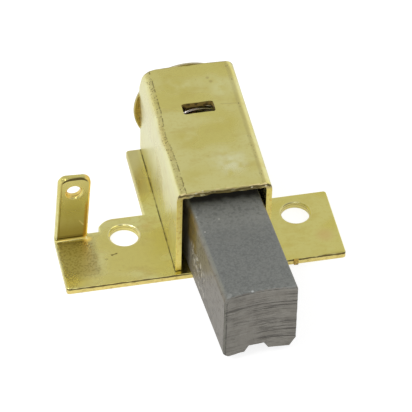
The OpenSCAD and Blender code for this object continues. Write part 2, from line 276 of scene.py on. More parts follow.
def tab_face(f, face):
    """The tab's front: painted shade gives it a deeper gold than the plate, deeper still towards its
    top, darker towards its foot and darkest along the fold; an orange band by its right edge and a
    brown line by its left edge.
    """
    # Painted shade: the front face is tinted deeper than the plate, more towards its top and foot, with
    # dark lines along the fold
    f.mark(face, (0.78, 0.70, 0.26), 0.6)
    f.mark(f.both(face, f.span(f.at["Z"], 7.5, 9.5)), (0.68, 0.59, 0.20), 0.7)
    f.mark(f.both(face, f.fade(f.at["Z"], 2.0, 5.2)), (0.52, 0.40, 0.12), 0.6)
    f.mark(f.both(face, f.near(f.at["Z"], 1.70, 0.10, 0.30)), (0.30, 0.22, 0.06), 0.6)
    f.mark(f.both(face, f.near(f.at["Z"], 1.50, 0.06, 0.10)), (0.10, 0.07, 0.02), 0.9)
    upright_x = f.math("SUBTRACT", f.at["X"], f.both(f.at["Z"], math.tan(TAB_LEAN)))
    right_edge = f.both(f.near(upright_x, -17.42, 0.12, 0.35), f.fade(f.at["Z"], 7.0, 8.5))
    f.mark(f.both(face, right_edge), (0.74, 0.42, 0.06), 0.85)
    f.mark(f.both(face, f.near(upright_x, -21.10, 0.02, 0.06)), (0.40, 0.28, 0.06), 0.8)


def tab_rims(f, face, upright):
    """Painted dark reflection as a line under the tab's top bevel, a darker band along its top, painted
    highlight round the hole and painted light on the hole's wall, and the bright right edge.
    """
    off = f.math("SUBTRACT", f.at["X"], TAB_X)
    rounded = f.math("ADD", f.at["Z"], f.both(off, off, off, off, 0.06))
    under = f.both(f.near(off, 0, 1.55, 0.30), f.fade(f.at["Y"], 0.70, 0.80))
    # Painted dark reflection under the top bevel
    f.mark(f.both(f.near(rounded, 12.22, 0.11, 0.08), under), (0.11, 0.08, 0.02), 0.95, rough=0.5,
           sink=2.0, metal=0.8)
    f.mark(f.both(upright, f.span(f.at["Z"], 12.45, 12.62)), (0.50, 0.45, 0.20), 0.6)
    away = f.away_from(TAB_HOLE, X=f.at["X"], Z=f.at["Z"])
    wall = f.both(f.fade(away, TAB_HOLE_RADIUS + 0.02, TAB_HOLE_RADIUS + 0.06), upright)
    # Painted light on the hole's wall
    f.mark(wall, (1.0, 0.76, 0.20), 0.8, rough=0.35, metal=0.6)
    f.mark(f.both(wall, f.near(f.at["Y"], 0.80, 0.04, 0.08)), (0.30, 0.20, 0.05), 0.7)
    ring = f.near(away, TAB_HOLE_RADIUS + 0.22, 0.06, 0.10)
    # Painted highlight round the hole
    f.mark(f.both(ring, face), (1.0, 0.86, 0.34), 0.4, rough=0.3)
    right_edge = f.both(f.span(f.normal["X"], 0.15, 0.45), upright)
    f.mark(right_edge, (1.0, 0.72, 0.22), 0.85, rough=0.35, metal=0.85)


def tab_fold(f):
    """Painted highlight along the fold where the tab rises from the plate, a painted glint near its
    right end, and a scratch.
    """
    fold = f.both(f.near(f.at["Z"], 1.17, 0.07, 0.10), f.near(f.at["Y"], 0.30, 0.10, 0.10),
                  f.near(f.at["X"], -18.8, 2.4, 0.3), f.span(f.noise(0.9, 2.0), 0.35, 0.55, 0.5, 1.0))
    # Painted highlight along the fold
    f.mark(fold, (1.0, 0.78, 0.20), 0.95, rough=0.3, metal=0.55)
    # Painted glint: a warm spot with a paler core
    f.mark(f.spot((-17.0, 0.2, 1.1), 0.10, 0.75), (1.0, 0.74, 0.16), 0.9, rough=0.4, metal=0.3)
    f.mark(f.spot((-17.1, 0.3, 1.2), 0.08, 0.30), (1.0, 0.92, 0.50), 1.0, rough=0.4, metal=0.1)
    f.mark(f.streak((-18.2, 0.4, 4.6), (-17.5, 0.4, 3.5), 0.10), (1.0, 0.86, 0.36), 0.85, rough=0.4,
           sink=1.5, metal=0.5)


def foot_seam_shade(f, flat):
    """Painted shade in the seam along each foot of the box, broken in places."""
    seam = f.near(f.math("ABSOLUTE", f.at["X"]), BOX_HALF, 0.05, 0.14)
    beside = f.near(f.at["Y"], (MOUTH + REAR) / 2, (REAR - MOUTH) / 2, 0.3)
    broken = f.span(f.noise(0.5, 2.0), 0.40, 0.58, 0.35, 1.0)
    f.mark(f.both(seam, beside, flat, broken), GRIME_AND_SHADE, 0.9, rough=0.7)


def flap_reflection_and_pits(f, flat):
    """Painted reflection of the tab, darkening the flap in front of it, and pitting on the flap, where
    the fold stretched it.
    """
    reflection_and_pits = f.both(f.near(f.at["X"], -19.0, 2.0, 1.2), f.near(f.at["Y"], -3.2, 2.4, 2.5), flat)
    # Painted reflection of the tab: darker brass in front of it
    f.mark(reflection_and_pits, (0.52, 0.46, 0.20), 0.8)
    f.mark(f.both(reflection_and_pits, f.span(f.noise(3.2, 3.0), 0.48, 0.60)), (0.34, 0.27, 0.08), 0.6, rough=0.45,
           sink=2.0)


def plate_wear(f, flat):
    """Warm spots, scratches of handling, and the torn nub where the plate parted from its strip."""
    f.mark(f.both(f.spot((-8.7, 1.2, PLATE_TOP), 0.05, 1.1), flat), (0.78, 0.60, 0.20), 0.5)
    f.mark(f.both(f.spot((15.0, -5.0, PLATE_TOP), 0.2, 1.7), flat), (0.80, 0.58, 0.22), 0.6)
    f.mark(f.streak((-14.55, -3.55, PLATE_TOP), (-13.5, -3.25, PLATE_TOP), 0.15), GRIME_AND_SHADE, 0.75,
           rough=0.6, sink=2.0)
    f.mark(f.streak((-15.5, -4.2, PLATE_TOP), (-15.0, -4.1, PLATE_TOP), 0.12), GRIME_AND_SHADE, 0.35, rough=0.5,
           sink=1.0)
    nub = f.both(f.near(f.at["X"], NUB_X, 0.3, 0.08), f.near(f.at["Y"], FRONT - 0.15, 0.12, 0.05))
    f.mark(nub, (0.66, 0.44, 0.10), 0.8, rough=0.5, sink=2.0)
    f.mark(f.both(nub, f.span(f.noise(2.2, 2.0), 0.50, 0.58)), (0.30, 0.22, 0.06), 0.7, rough=0.5,
           sink=2.0)


def plate_brass():
    f = rolled_brass("plate_brass", (0.87, 0.83, 0.38), (0.79, 0.70, 0.22))
    flat = f.near(f.at["Z"], PLATE_TOP, 0.02, 0.05)
    rolled_rim(f)
    hole_rings(f)
    foot_seam_shade(f, flat)
    flap_reflection_and_pits(f, flat)
    # Deeper gold to the right of the box, and painted reflection of the box's left wall as duller brass
    # to its left towards the rear
    f.mark(f.both(f.span(f.at["X"], 5.0, 7.0), flat), (0.78, 0.68, 0.14), 0.5)
    f.mark(f.both(f.fade(f.at["X"], -7.2, -6.6), f.span(f.at["Y"], 6.5, 8.5)), (0.68, 0.61, 0.26), 0.8)
    upright = f.span(f.at["Z"], 1.25, 1.35)
    face = f.both(f.fade(f.normal["Y"], -0.9, -0.6), upright)
    tab_face(f, face)
    tab_rims(f, face, upright)
    tab_fold(f)
    plate_wear(f, flat)
    return f.done(wave=f.noise(0.26))


def pitted_bends(f):
    """Broken dark line and fine pits along the bend on the left, a softer line on the right."""
    high = f.span(f.at["Z"], BOX_TOP - 1.0, BOX_TOP - 0.5)
    crumbs = f.fade(f.cells(1.0, f.stretched(3.4, 2.2, 3.4)), 0.20, 0.38)
    patchy = f.span(f.noise(0.8, 2.0), 0.34, 0.52)
    waver = f.waver(0.25, 0.3)
    bow = f.both(f.near(f.at["Y"], 4.2, 0.6, 4.0), -0.27)
    lead = f.span(f.at["Y"], -5.0, 0.5, 0.15, 0.0)
    left = f.math("SUBTRACT", f.math("SUBTRACT", f.at["X"], bow), f.math("ADD", waver, lead))
    band = f.both(f.near(left, -5.72, 0.20, 0.25), high)
    f.mark(band, (0.70, 0.64, 0.30), 0.40, rough=0.36)
    f.mark(f.both(band, f.near(f.at["Y"], 3.0, 2.0, 4.0)), (0.70, 0.56, 0.18), 0.35)
    f.mark(f.both(band, f.span(f.noise(2.6, 3.0), 0.48, 0.64)), (0.46, 0.38, 0.12), 0.45, rough=0.42,
           sink=1.5)
    pits = f.both(f.near(left, -5.66, 0.30, 0.25), high, crumbs, patchy)
    f.mark(pits, (0.26, 0.20, 0.07), 0.85, rough=0.5, sink=2.5)
    line = f.both(f.near(left, -5.36, 0.03, 0.08), high, f.span(f.noise(1.3, 3.0), 0.44, 0.56))
    f.mark(line, (0.20, 0.16, 0.06), 0.8, rough=0.5, sink=2.5)
    right = f.math("ADD", f.at["X"], waver)
    f.mark(f.both(f.near(right, 5.42, 0.14, 0.30), high), (0.60, 0.52, 0.20), 0.5)
    pits = f.both(f.near(right, 5.38, 0.16, 0.15), high, crumbs, f.span(f.noise(0.6, 2.0), 0.45, 0.6))
    f.mark(pits, (0.28, 0.23, 0.09), 0.8, rough=0.6, sink=2.5)


def sheared_rims(f):
    """Gold sheared ends of the sheet, with rougher and brighter flecks."""
    rim = f.span(f.math("ABSOLUTE", f.normal["Y"]), 0.45, 0.75)
    f.mark(rim, (0.93, 0.77, 0.20), 0.85, rough=0.34, metal=0.85)
    f.mark(f.both(rim, f.span(f.noise(1.6, 3.0), 0.52, 0.64)), (0.70, 0.48, 0.10), 0.5, rough=0.45,
           sink=0.8)
    f.mark(f.both(rim, f.span(f.noise(3.1, 2.0), 0.60, 0.68)), (1.0, 0.88, 0.38), 0.5, rough=0.32,
           metal=0.7)


def torn_lip(f):
    """The sheared end over the brush is torn: a painted dark reflection across its middle, with pits
    and pale flecks, and a painted highlight line and glints along its top.
    """
    lip = f.both(f.fade(f.at["Y"], MOUTH + 0.10, MOUTH + 0.22),
                 f.span(f.at["Z"], BOX_TOP - 1.1, BOX_TOP - 0.9))
    height = f.math("ADD", f.at["Z"], f.waver(0.65, 0.9, 3.0))
    low = f.fade(height, BOX_TOP - 0.50, BOX_TOP - 0.42)
    f.mark(f.both(lip, low), (0.70, 0.58, 0.22), 0.9, rough=0.5, metal=0.15)
    # Painted dark reflection across the middle of the end, with pits
    dark_reflection_band = f.near(height, BOX_TOP - 0.37, 0.13, 0.10)
    f.mark(f.both(lip, dark_reflection_band), (0.13, 0.10, 0.035), 0.92, rough=0.6, sink=3.0, metal=0.6)
    # Painted dark reflection above it, with pale flecks
    torn = f.both(lip, f.near(f.at["X"], 0.1, 4.6, 0.6), f.fade(height, BOX_TOP - 0.42, BOX_TOP - 0.30))
    f.mark(torn, (0.20, 0.155, 0.045), 0.92, rough=0.5, sink=1.0, metal=0.5)
    flecks = f.span(f.noise(1.5, 3.0, f.stretched(0.6, 1.0, 1.6)), 0.54, 0.62)
    f.mark(f.both(torn, flecks), (0.80, 0.74, 0.42), 0.7, rough=0.4)
    crack = f.both(f.near(height, BOX_TOP - 0.62, 0.03, 0.05), f.span(f.noise(1.2), 0.45, 0.55))
    f.mark(f.both(lip, crack), (0.16, 0.12, 0.04), 0.8, rough=0.6, sink=3.0)
    # Painted highlight along the top of the end, and painted glints
    f.mark(f.both(lip, f.near(height, BOX_TOP - 0.08, 0.07, 0.08)), (1.0, 0.84, 0.42), 0.85, rough=0.3,
           metal=0.6)
    for x, z in ((-3.9, 15.1), (-3.0, 15.3), (3.7, 14.9), (5.6, 14.9)):
        f.mark(f.spot((x, MOUTH, z), 0.06, 0.18), (1.0, 0.92, 0.62), 0.95, rough=0.4, metal=0.3)


def slot_walls(f):
    """Dull sheared walls of the slot in the roof."""
    slot = f.both(f.near(f.at["X"], SLOT.x, SLOT_HALF.x + 0.06, 0.04),
                  f.near(f.at["Y"], SLOT.y, SLOT_HALF.y + 0.055, 0.04),
                  f.fade(f.at["Z"], BOX_TOP - 0.14, BOX_TOP - 0.06))
    f.mark(slot, (0.44, 0.30, 0.08), 0.95, rough=0.5, sink=1.0, metal=0.3)
    f.mark(f.both(slot, f.span(f.noise(1.4, 2.0), 0.48, 0.60)), (0.12, 0.08, 0.03), 0.8)


def roof_patches(f):
    """A pale patch near the mouth, and deeper ones behind it."""
    uneven = f.span(f.noise(0.6, 3.0), 0.30, 0.62)
    for place, reach, colour in (((1.8, -3.2), 3.4, (0.97, 0.97, 0.62)),
                                 ((3.9, 11.5), 2.4, (0.90, 0.88, 0.44)),
                                 ((-2.2, 12.8), 3.2, (0.70, 0.61, 0.15)),
                                 ((-2.8, 2.2), 2.8, (0.72, 0.63, 0.17)),
                                 ((2.6, 4.4), 2.4, (0.73, 0.64, 0.17)),
                                 ((-3.6, -5.4), 2.2, (0.74, 0.66, 0.20))):
        f.mark(f.both(f.spot((*place, BOX_TOP), 0.3, reach), uneven), colour, 0.75)


def box_brass():
    f = rolled_brass("box_brass", (0.87, 0.84, 0.41), (0.78, 0.71, 0.24))
    # Painted light and shade by facing: faces turned up are given a deeper gold, faces turned to the
    # left a paler tint
    f.mark(f.span(f.normal["Z"], 0.70, 0.95), (0.74, 0.65, 0.17), 0.4)
    f.mark(f.fade(f.normal["X"], -0.9, -0.6), (0.93, 0.92, 0.62), 0.5)
    pitted_bends(f)
    sheared_rims(f)
    torn_lip(f)
    # Painted shade along the feet, where the walls meet the plate
    foot = f.math("ADD", f.at["Z"], f.both(f.noise(1.5), 0.3))
    f.mark(f.fade(foot, 1.20, 1.34), GRIME_AND_SHADE, 0.7, rough=0.7)
    slot_walls(f)
    # Darker line along the rear edge of the roof
    edge = f.both(f.span(f.at["Y"], REAR - 0.22, REAR - 0.08),
                  f.span(f.at["Z"], BOX_TOP - 1.2, BOX_TOP - 0.8))
    f.mark(f.both(edge, f.span(f.noise(0.9, 2.0), 0.40, 0.55, 0.2, 1.0)), (0.36, 0.28, 0.14), 0.6)
    roof_patches(f)
    # A scratch beside the slot, two dents behind it and a bright speck on the left wall
    f.mark(f.streak((2.7, 8.35, BOX_TOP), (5.3, 8.05, BOX_TOP), 0.09), (0.55, 0.46, 0.18), 0.5,
           rough=0.5, sink=1.0)
    for x, y in ((2.2, 13.8), (2.5, 13.0)):
        f.mark(f.spot((x, y, BOX_TOP), 0.10, 0.28), (0.50, 0.40, 0.15), 0.55, rough=0.5, sink=1.0)
    f.mark(f.spot((-BOX_HALF, -3.0, 6.7), 0.07, 0.10), (1.0, 1.0, 0.9), 0.8, rough=0.3)
    return f.done(wave=f.noise(0.26))


def cap_brass():
    # Painted shade: the cap's brass is given a much darker, browner tint than the rest of the brass
    f = rolled_brass("cap_brass", (0.40, 0.31, 0.12), (0.30, 0.22, 0.08), 0.30)
    away = f.away_from((0, 0, CAP_CENTRE.z), X=f.at["X"], Z=f.at["Z"])
    f.mark(f.span(away, CAP_CUP_RADIUS - 0.07, CAP_CUP_RADIUS + 0.07), (0.72, 0.66, 0.42), 0.7,
           rough=0.35)
    return f.done()


# ---- finishes of the brush, spring, braid and solder ----

def upper_face(f):
    """Top of the brush: painted light near the mouth, with a dark speckle there, and painted shade
    under the roof.
    """
    upward = f.span(f.normal["Z"], 0.8, 0.95)
    painted_light_by_mouth = f.both(f.near(f.at["Y"], -8.5, 1.5, 4.5), upward)
    # Painted light: the top is made paler near the mouth
    f.mark(painted_light_by_mouth, (0.38, 0.385, 0.350), 0.34)
    f.mark(f.both(painted_light_by_mouth, f.span(f.noise(2.2, 3.0), 0.50, 0.62)), (0.105, 0.108, 0.100), 0.40, sink=0.6)
    # Painted shade: near black under the roof
    inside = f.span(f.math("ADD", f.at["Y"], f.both(f.noise(0.9, 2.0), 0.9)), MOUTH + 1.2, MOUTH + 2.3)
    f.mark(f.both(inside, upward), (0.014, 0.012, 0.010), 0.92, rough=0.9)


def ground_face(f, front):
    """Ground front face: brown-grey, with arcs left by the turning commutator."""
    f.mark(front, (0.335, 0.312, 0.268), 0.85)
    f.mark(f.both(front, f.span(f.noise(0.8, 3.0), 0.46, 0.64)), (0.215, 0.196, 0.166), 0.5)
    level = f.stretched(0.035, 0.035, 1.0)
    broad = f.noise(2.3, 3.0, level, roughness=0.65)
    narrow = f.noise(7.0, 2.0, level, roughness=0.6)
    lines = f.math("MAXIMUM", f.span(broad, 0.56, 0.63), f.both(f.span(narrow, 0.54, 0.63), 0.8))
    right = f.both(f.span(f.at["X"], 0.5, 3.5), f.near(f.at["Z"], 5.0, 1.8, 1.0))
    middling = f.near(f.at["Z"], 8.9, 0.7, 0.5)
    elsewhere = f.span(f.noise(0.5, 2.0, f.stretched(0.6, 1.0, 1.0)), 0.38, 0.6, 0.25, 0.7)
    patch = f.math("MINIMUM", f.math("ADD", f.math("MAXIMUM", right, middling), elsewhere), 1.0)
    f.mark(f.both(front, lines, patch), (0.075, 0.067, 0.056), 0.85, rough=0.6, sink=3.0)
    f.mark(f.both(front, f.fade(broad, 0.34, 0.42)), (0.44, 0.42, 0.37), 0.4)


def ground_rim(f, front):
    """Dark line just inside the ground face's rim: along the top, round the corner and down."""
    radius = 1.02
    right_of = f.span(f.at["X"], BRUSH_CORNER[0] - 0.05, BRUSH_CORNER[0] + 0.05)
    above = f.span(f.at["Z"], BRUSH_CORNER[2] - 0.05, BRUSH_CORNER[2] + 0.05)
    top = f.both(f.near(f.at["Z"], BRUSH_TOP - 0.28, 0.03, 0.07), right_of)
    side = f.both(f.near(f.at["X"], BRUSH_CORNER[0] - radius, 0.03, 0.08),
                  f.math("SUBTRACT", 1.0, above))
    away = f.away_from(BRUSH_CORNER, X=f.at["X"], Z=f.at["Z"])
    arc = f.both(f.near(away, radius, 0.04, 0.08), f.math("SUBTRACT", 1.0, right_of), above)
    line = f.math("MAXIMUM", f.math("MAXIMUM", top, side), arc)
    broken = f.span(f.noise(1.0, 3.0), 0.34, 0.48)
    f.mark(f.both(front, line, broken), (0.05, 0.045, 0.04), 0.8, sink=1.5)


def rubbed_flanks(f):
    """Flanks rubbed by the box: warmer and smoother, with painted shade and a painted brass reflection
    beside the box, and pale scratches low on the left.
    """
    sideways = f.math("ABSOLUTE", f.normal["X"])
    flank = f.span(sideways, 0.35, 0.90)
    f.mark(flank, (0.210, 0.182, 0.140), 0.8, rough=0.34)
    rounding = f.both(f.span(sideways, 0.12, 0.40), f.fade(sideways, 0.70, 0.92))
    uneven = f.span(f.noise(0.8, 3.0), 0.35, 0.60, 0.3, 1.0)
    f.mark(f.both(rounding, uneven), (0.245, 0.245, 0.195), 0.6)
    shade_and_reflection_by_box = f.both(f.near(f.at["Z"], 10.2, 2.6, 1.6), f.near(f.at["Y"], -9.4, 1.4, 1.6))
    # Painted shade and reflection of the box's brass on the flank beside the mouth
    f.mark(f.both(flank, shade_and_reflection_by_box), (0.175, 0.115, 0.022), 0.9, rough=0.30)
    dark = f.span(f.noise(1.3, 4.0, roughness=0.65), 0.50, 0.64)
    f.mark(f.both(flank, dark), (0.085, 0.072, 0.052), 0.65, sink=1.5)
    low = f.both(f.near(f.at["Z"], 4.9, 2.0, 1.2), f.near(f.at["Y"], -12.6, 2.6, 1.6),
                 f.span(f.normal["X"], -0.6, -0.3, 1.0, 0.15))
    rubs = f.span(f.noise(1.0, 3.0, f.stretched(1.1, 2.8, 0.9), distortion=0.8), 0.54, 0.60)
    f.mark(f.both(flank, rubs, low), (0.72, 0.69, 0.62), 0.85, rough=0.5, sink=1.5)
    gouges = f.fade(f.noise(1.2, 3.0, f.stretched(1.3, 2.6, 0.8), distortion=1.0), 0.34, 0.40)
    f.mark(f.both(flank, gouges, low), (0.035, 0.030, 0.025), 0.85, rough=0.5, sink=2.0)


def chipped_rim(f):
    """Worn pale rim over the ground face, its two chips, and pale specks behind them."""
    worn = f.both(f.fade(f.at["Y"], NOSE + 0.4, NOSE + 0.9), f.span(f.at["Z"], 11.6, 11.9))
    f.mark(f.both(worn, f.span(f.noise(1.8, 2.0), 0.46, 0.60)), (0.30, 0.31, 0.29), 0.6)
    for centre, radius in zip(CHIPS, (0.10, 0.08)):
        f.mark(f.spot(centre, radius, 0.14), (0.62, 0.65, 0.64), 0.7, rough=0.4)
    for x, y in ((-4.09, -9.46), (-1.2, -10.39), (-3.54, -12.46)):
        f.mark(f.spot((x, y, BRUSH_TOP), 0.05, 0.12), (0.60, 0.60, 0.55), 0.7, rough=0.4)


def electrographite():
    """Pressed carbon: a fine dark grain under the marks of its work, with painted light and shade on
    its top and flanks.
    """
    f = Finish("electrographite", Metallic=0.0, Specular_IOR_Level=0.6)
    speck = f.noise(3.6, 3.0, roughness=0.65)
    f.tint = f.blend(f.span(speck, 0.36, 0.64), (0.141, 0.148, 0.137, 1), (0.202, 0.210, 0.194, 1))
    f.rough = f.span(speck, 0.3, 0.7, 0.42, 0.56)
    f.height = speck
    f.mark(f.span(f.noise(0.45, 3.0), 0.45, 0.70), (0.205, 0.210, 0.192), 0.5)
    f.mark(f.span(f.noise(1.5, 3.0), 0.56, 0.70), (0.115, 0.118, 0.108), 0.5, sink=0.6)
    upper_face(f)
    front = f.fade(f.normal["Y"], -0.9, -0.7)
    ground_face(f, front)
    ground_rim(f, front)
    rubbed_flanks(f)
    chipped_rim(f)
    return f.done(0.02)


def drawn_wire():
    f = Finish("drawn_wire", Metallic=1.0)
    f.tint = f.blend(f.span(f.noise(1.5), 0.35, 0.65), (0.90, 0.79, 0.73, 1), (1.0, 0.92, 0.86, 1))
    f.rough = f.span(f.noise(2.4), 0.3, 0.7, 0.19, 0.27)
    f.height = f.noise(1.0, 2.0, f.stretched(6, 1, 6))
    f.mark(f.span(f.noise(0.9, 3.0), 0.62, 0.74), (0.40, 0.28, 0.20), 0.4, rough=0.5)
    return f.done(0.003)


def copper_strand():
    f = Finish("copper_strand", Metallic=1.0)
    f.tint = f.blend(f.span(f.noise(1.2), 0.35, 0.65), (0.66, 0.29, 0.14, 1), (0.88, 0.50, 0.30, 1))
    f.rough = f.span(f.noise(3.0), 0.3, 0.7, 0.26, 0.42)
    f.height = f.noise(9.0)
    f.mark(f.span(f.noise(0.7, 3.0), 0.56, 0.70), (0.26, 0.12, 0.07), 0.5, rough=0.55)
    return f.done(0.003)


def tamped_powder():
    f = Finish("tamped_powder", Metallic=0.8)
    grain = f.cells(5.0)
    f.tint = f.blend(f.span(grain, 0.1, 0.6), (0.58, 0.30, 0.17, 1), (0.26, 0.13, 0.08, 1))
    f.rough = f.span(grain, 0.1, 0.7, 0.45, 0.7)
    f.height = f.math("SUBTRACT", f.noise(6.0, 3.0), grain)
    f.mark(f.span(f.noise(1.4), 0.58, 0.68), (0.10, 0.09, 0.08), 0.7)
    return f.done(0.03)


def soft_solder():
    f = Finish("soft_solder", Metallic=1.0)
    f.tint = f.blend(f.span(f.noise(1.1, 3.0), 0.35, 0.65), (0.50, 0.50, 0.50, 1),
                     (0.78, 0.78, 0.77, 1))
    f.rough = f.span(f.noise(2.0), 0.3, 0.7, 0.24, 0.48)
    f.height = f.noise(3.0, 3.0, distortion=0.8)
    f.mark(f.span(f.noise(1.8), 0.62, 0.70), (0.30, 0.20, 0.08), 0.6, rough=0.6)
    return f.done(0.01)


# ---- pieces cut and rounded from the CAD nodes ----

def cleaned(node):
    """A CAD node's mesh with its doubles merged and its flat faces whole."""
    work = bmesh.new()
    work.from_mesh(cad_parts[node].data)
    bmesh.ops.remove_doubles(work, verts=work.verts, dist=1e-6)
    bmesh.ops.dissolve_limit(work, angle_limit=math.radians(0.4), verts=work.verts, edges=work.edges)
    return work


def middle(edge):
    return (edge.verts[0].co + edge.verts[1].co) / 2 / MM


def creases(work, angle, test):
    limit = math.radians(angle)
    return [e for e in work.edges if e.is_manifold and e.calc_face_angle(0) > limit and test(e)]


def divide(work, test, step):
    """Cuts the chosen creases into lengths of about step millimetres."""
    for edge in creases(work, 28, test):
        cuts = int(edge.calc_length() / MM / step)
        if cuts > 0:
            bmesh.ops.subdivide_edges(work, edges=[edge], cuts=cuts)


def round_off(work, width, segments, test=lambda e: True, angle=30, clamp=True):
    bmesh.ops.bevel(work, geom=creases(work, angle, test), offset=width * MM, offset_type="OFFSET",
                    affect="EDGES", segments=segments, profile=0.5, material=-1, clamp_overlap=clamp)


def smooth_step(value, low, high):
    t = min(1, max(0, (value - low) / (high - low)))
    return t * t * (3 - 2 * t)


def shake(work, amount, scale, test):
    """Moves the chosen vertices by a small fixed noise, as shearing and casting leave them."""
    for vert in work.verts:
        if test(vert.co / MM):
            vert.co += noise.noise_vector(vert.co / MM * scale) * amount * MM


def face_rank(face):
    """A number that orders the faces by their three lowest vertices."""
    first, second, third = sorted(vert.index for vert in face.verts)[:3]
    return (first * 1e5 + second) * 1e5 + third


def finished(work, name, crease=40, even=True):
    """The worked mesh as a piece with smooth faces and crisp creases."""
    bmesh.ops.recalc_face_normals(work, faces=work.faces)
    for face in work.faces:
        face.smooth = True
    # Bevels leave their faces in a different order each run, so the faces are put in order
    work.verts.index_update()
    work.faces.sort(key=face_rank)
    mesh = bpy.data.meshes.new(name)
    work.to_mesh(mesh)
    work.free()
    mesh.set_sharp_from_angle(angle=math.radians(crease))
    piece = bpy.data.objects.new(name, mesh)
    bpy.context.scene.collection.objects.link(piece)
    if even:
        piece.modifiers.new("even_shading", "WEIGHTED_NORMAL").keep_sharp = True
    return piece


def dress(piece, material, node, body=None):
    piece.data.materials.append(material)
    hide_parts(node)
    if body:
        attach(piece, body)
    return piece


def by_foot(p):
    """True beside the staked feet of the box."""
    return BOX_HALF - 1.0 < abs(p.x) < BOX_HALF + 0.2


def plate_outline(edge):
    """True on the plate's top outline, but not round its holes, slots and parting nub."""
    p = middle(edge)
    level = abs(edge.verts[0].co.z - edge.verts[1].co.z) < 1e-6 and abs(p.z - PLATE_TOP) < 0.001
    by_hole = math.hypot(abs(p.x) - HOLE_X, p.y) < HOLE_RADIUS + 0.4
    by_nub = p.y < FRONT + 0.01 and abs(p.x - NUB_X) < 0.35
    return level and not (by_hole or by_foot(p) or by_nub)


def crown_tab(work):
    """Raises the middle of the tab's top, which the stamping leaves slightly arched."""
    rise, half_width, foot, top = 0.24, 2.1, 11, 12
    for vert in work.verts:
        off = min(1, abs(vert.co.x / MM - TAB_X) / half_width)
        vert.co.z += rise * smooth_step(vert.co.z / MM, foot, top) * (1 - off ** 2) * MM


def stamped_plate():
    work = cleaned("base_plate")
    crown_tab(work)
    round_off(work, 0.22, 4, plate_outline, clamp=False)
    round_off(work, 0.05, 2, lambda e: not (by_foot(middle(e)) and middle(e).z < PLATE_TOP + 0.01))
    return dress(finished(work, "stamped_plate"), plate_brass(), "base_plate", "holder")


def cut_across(work, places):
    """Cuts flat faces at the given (axis, place) planes, so that they can bow a little."""
    for axis, place in places:
        across = Vector([1.0 if i == axis else 0.0 for i in range(3)])
        everything = work.verts[:] + work.edges[:] + work.faces[:]
        bmesh.ops.bisect_plane(work, geom=everything, dist=1e-6, plane_co=across * place * MM,
                               plane_no=across)


def ease_rear(work):
    """The rear end of the folded sheet: a softer left bend, a bowed left wall and a crowned roof."""
    bend = 2.0
    centre_x, centre_z = bend - BOX_HALF, BOX_TOP - bend
    inner = SHEET - 0.05
    for vert in work.verts:
        p = vert.co / MM
        share = smooth_step(p.y, 2, REAR)
        if p.z > centre_z and p.x < centre_x:
            arm = Vector((p.x - centre_x, 0, p.z - centre_z))
            inside = p.x > inner - BOX_HALF and p.z < BOX_TOP - inner
            reach = bend - SHEET if inside else bend
            if arm.length > reach:
                vert.co += arm * (reach / arm.length - 1) * share * MM
        elif p.x < -5:
            bell = smooth_step(p.z, 5.5, 11) * smooth_step(p.z, 15, 11.8)
            vert.co.x -= 0.22 * bell * share * MM
        if p.z > BOX_TOP - 1.1:
            vert.co.z += 0.14 * (1 - min(1, abs(p.x) / 5.6) ** 2) * smooth_step(p.y, 8, REAR) * MM


def at_slot(p):
    """True on the rims and walls of the slot in the roof."""
    wide = abs(p.x - SLOT.x) < SLOT_HALF.x + 0.16
    return wide and abs(p.y - SLOT.y) < SLOT_HALF.y + 0.165 and p.z > BOX_TOP - 1.3


def at_mouth(p):
    """True on the torn end of the roof, over the brush."""
    return p.y < MOUTH + 0.1 and p.z > BOX_TOP - 1.0


def folded_box():
    work = cleaned("brush_box")
    divide(work, lambda e: at_slot(middle(e)) or at_mouth(middle(e)), 0.25)
    round_off(work, 0.06, 2)
    shake(work, 0.05, 1.6, at_slot)
    shake(work, 0.20, 1.0, at_mouth)
    cut_across(work, [(2, z) for z in (6, 8, 10, 11.5, 12.5, 13.4)]
               + [(0, x) for x in (-4.5, -2.8, 2.8, 4.5)] + [(1, y) for y in (2, 6, 10, 13, 15)])
    ease_rear(work)
    return dress(finished(work, "folded_box"), box_brass(), "brush_box", "holder")


def pressed_cap():
    work = cleaned("rear_cap")
    round_off(work, 0.09, 3)
    return dress(finished(work, "pressed_cap"), cap_brass(), "rear_cap", "holder")


def dent(work, centre, reach, push):
    """Pushes the surface in at a place, easing off to nothing at its reach."""
    for vert in work.verts:
        away = (vert.co / MM - Vector(centre)).length
        vert.co += Vector(push) * MM * smooth_step(away, reach, 0)


def carbon_block():
    work = cleaned("carbon_brush")

    def ahead(edge):
        return middle(edge).y < NOSE + 1.2

    def upper(edge):
        return middle(edge).z > BRUSH_TOP - 0.9

    divide(work, ahead, 0.3)
    round_off(work, 0.24, 3, lambda e: ahead(e) and not upper(e))
    round_off(work, 0.14, 3, lambda e: ahead(e) and upper(e))
    round_off(work, 0.06, 2, lambda e: not ahead(e))
    shake(work, 0.035, 1.4, lambda p: p.y < NOSE + 1.3)
    dent(work, CHIPS[0], 0.30, (0, 0.05, -0.11))
    dent(work, CHIPS[1], 0.25, (0, 0.04, -0.09))
    # The lower left corner is knocked off
    dent(work, (-3.7, -25.2, 1.05), 1.10, (0.25, 0.20, 0.25))
    return dress(finished(work, "carbon_block"), electrographite(), "carbon_brush", "brush")


def roughcast(name, node, cuts, amount, scale, test):
    """A CAD node's solid with a finer, slightly uneven skin."""
    work = cleaned(node)
    bmesh.ops.triangulate(work, faces=work.faces)
    bmesh.ops.subdivide_edges(work, edges=work.edges, cuts=cuts, use_grid_fill=True)
    shake(work, amount, scale, test)
    return finished(work, name, 60, even=False)


def solder_dome():
    piece = roughcast("solder_dome", "solder_joint", 2, 0.06, 0.9, lambda p: p.y > 15.75)
    return dress(piece, soft_solder(), "solder_joint", "holder")


